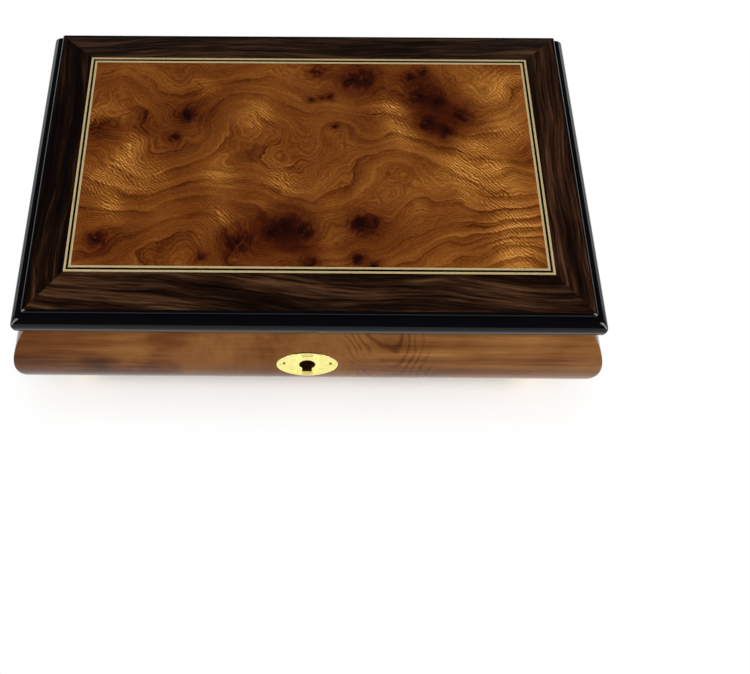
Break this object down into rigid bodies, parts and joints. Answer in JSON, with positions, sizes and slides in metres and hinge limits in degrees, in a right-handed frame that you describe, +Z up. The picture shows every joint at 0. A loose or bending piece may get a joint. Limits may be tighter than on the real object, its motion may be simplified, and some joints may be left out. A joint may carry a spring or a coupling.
{
  "type": "musical jewelry box",
  "caption": "Bulged wooden musical jewelry box with an inlaid hinged lid, a suede-lined inside with ring rolls, a lift-out panel over a wind-up movement, and brass ball feet.",
  "frame": {"origin": "on the floor, under the middle of the box", "axes": "+X to the right along the length, +Y to the hinged back, +Z up"},
  "size_m": [0.2544, 0.165, 0.074],
  "materials": {
    "elm_veneer": "high-gloss lacquered elm veneer",
    "rosewood": "high-gloss lacquered rosewood",
    "black_lacquer": "glossy black lacquer on wood",
    "burl": "high-gloss lacquered elm burl",
    "light_line": "lacquered maple stringing",
    "dark_line": "lacquered dyed stringing",
    "plain_board": "plain board",
    "brass": "polished brass",
    "suede": "tan suede cloth over card",
    "cast_zinc": "cast bedplate",
    "spring_steel": "steel",
    "governor_plastic": "moulded nylon"
  },
  "bodies": {
    "case": {"front_wall": "elm_veneer", "back_wall": "elm_veneer", "left_wall": "elm_veneer", "right_wall": "elm_veneer", "rim_front": "rosewood", "rim_back": "rosewood", "rim_left": "rosewood", "rim_right": "rosewood", "bottom_board": "plain_board", "panel_ledges": "plain_board", "ball_feet": "brass", "escutcheon": "brass", "escutcheon_screws": "brass", "lock_case": "brass", "lock_ring": "brass", "hinge_case_leaf": "brass", "hinge_pin": "brass", "hinge_case_screws": "brass", "plunger_bush": "brass", "governor_frame": "brass", "lining_front": "suede", "lining_back": "suede", "lining_left": "suede", "lining_right": "suede", "floor_pad": "suede", "divider": "suede", "ring_roll_low": "suede", "ring_roll_high": "suede", "movement_bedplate": "cast_zinc", "comb": "spring_steel", "comb_screws": "spring_steel", "bedplate_screws": "spring_steel"},
    "lid": {"lid_core": "plain_board", "lid_edge_front": "black_lacquer", "lid_edge_back": "black_lacquer", "lid_edge_left": "black_lacquer", "lid_edge_right": "black_lacquer", "lid_border_front": "rosewood", "lid_border_back": "rosewood", "lid_border_left": "rosewood", "lid_border_right": "rosewood", "stringing_light": "light_line", "stringing_dark": "dark_line", "burl_panel": "burl", "lid_underside": "rosewood", "hinge_lid_leaf": "brass", "hinge_lid_screws": "brass", "catch_stud": "brass"},
    "cover": {"cover_panel": "suede", "pull_tab": "suede"},
    "plunger": {"stop_plunger": "brass"},
    "bolt": {"lock_bolt": "brass"},
    "winding": {"winding_arbor": "spring_steel", "winding_key": "brass"},
    "barrel": {"spring_barrel": "brass", "mainspring": "spring_steel"},
    "cylinder": {"music_cylinder": "brass"},
    "train": {"governor_wheel": "governor_plastic"},
    "fly": {"governor_fly": "governor_plastic"}
  },
  "joints": [
    {"name": "lid_swing", "type": "hinge", "parent": "case", "child": "lid", "pos_m": [0, 0.0715, 0.06215], "axis": [-1, 0, 0], "range_deg": [0, 95]},
    {"name": "plunger_rise", "type": "slide", "parent": "case", "child": "plunger", "axis": [0, 0, 1], "range_m": [0, 0.00252]},
    {"name": "bolt_throw", "type": "slide", "parent": "case", "child": "bolt", "axis": [-1, 0, 0], "range_m": [0, 0.004]},
    {"name": "cover_lift", "type": "slide", "parent": "case", "child": "cover", "axis": [0, 0, 1], "range_m": [0, 0.004]},
    {"name": "key_wind", "type": "hinge", "parent": "case", "child": "winding", "pos_m": [0.043, 0.02134, 0.006], "axis": [0, 0, 1], "continuous": true},
    {"name": "cylinder_turn", "type": "hinge", "parent": "case", "child": "cylinder", "pos_m": [0.055, 0.02134, 0.03085], "axis": [1, 0, 0], "continuous": true},
    {"name": "barrel_turn", "type": "hinge", "parent": "case", "child": "barrel", "pos_m": [0.043, 0.02134, 0.02], "axis": [0, 0, 1], "continuous": true},
    {"name": "train_turn", "type": "hinge", "parent": "case", "child": "train", "pos_m": [0.0851, 0.03, 0.02585], "axis": [1, 0, 0], "continuous": true},
    {"name": "fly_spin", "type": "hinge", "parent": "case", "child": "fly", "pos_m": [0.0907, 0.0367, 0.025], "axis": [0, 0, 1], "continuous": true}
  ],
  "couplings": [
    {"joint": "plunger_rise", "follows": "lid_swing", "m_per_rad": 0.0015078},
    {"joint": "barrel_turn", "follows": "cylinder_turn", "ratio": 0.5},
    {"joint": "train_turn", "follows": "cylinder_turn", "ratio": -3},
    {"joint": "fly_spin", "follows": "cylinder_turn", "ratio": 48}
  ]
}
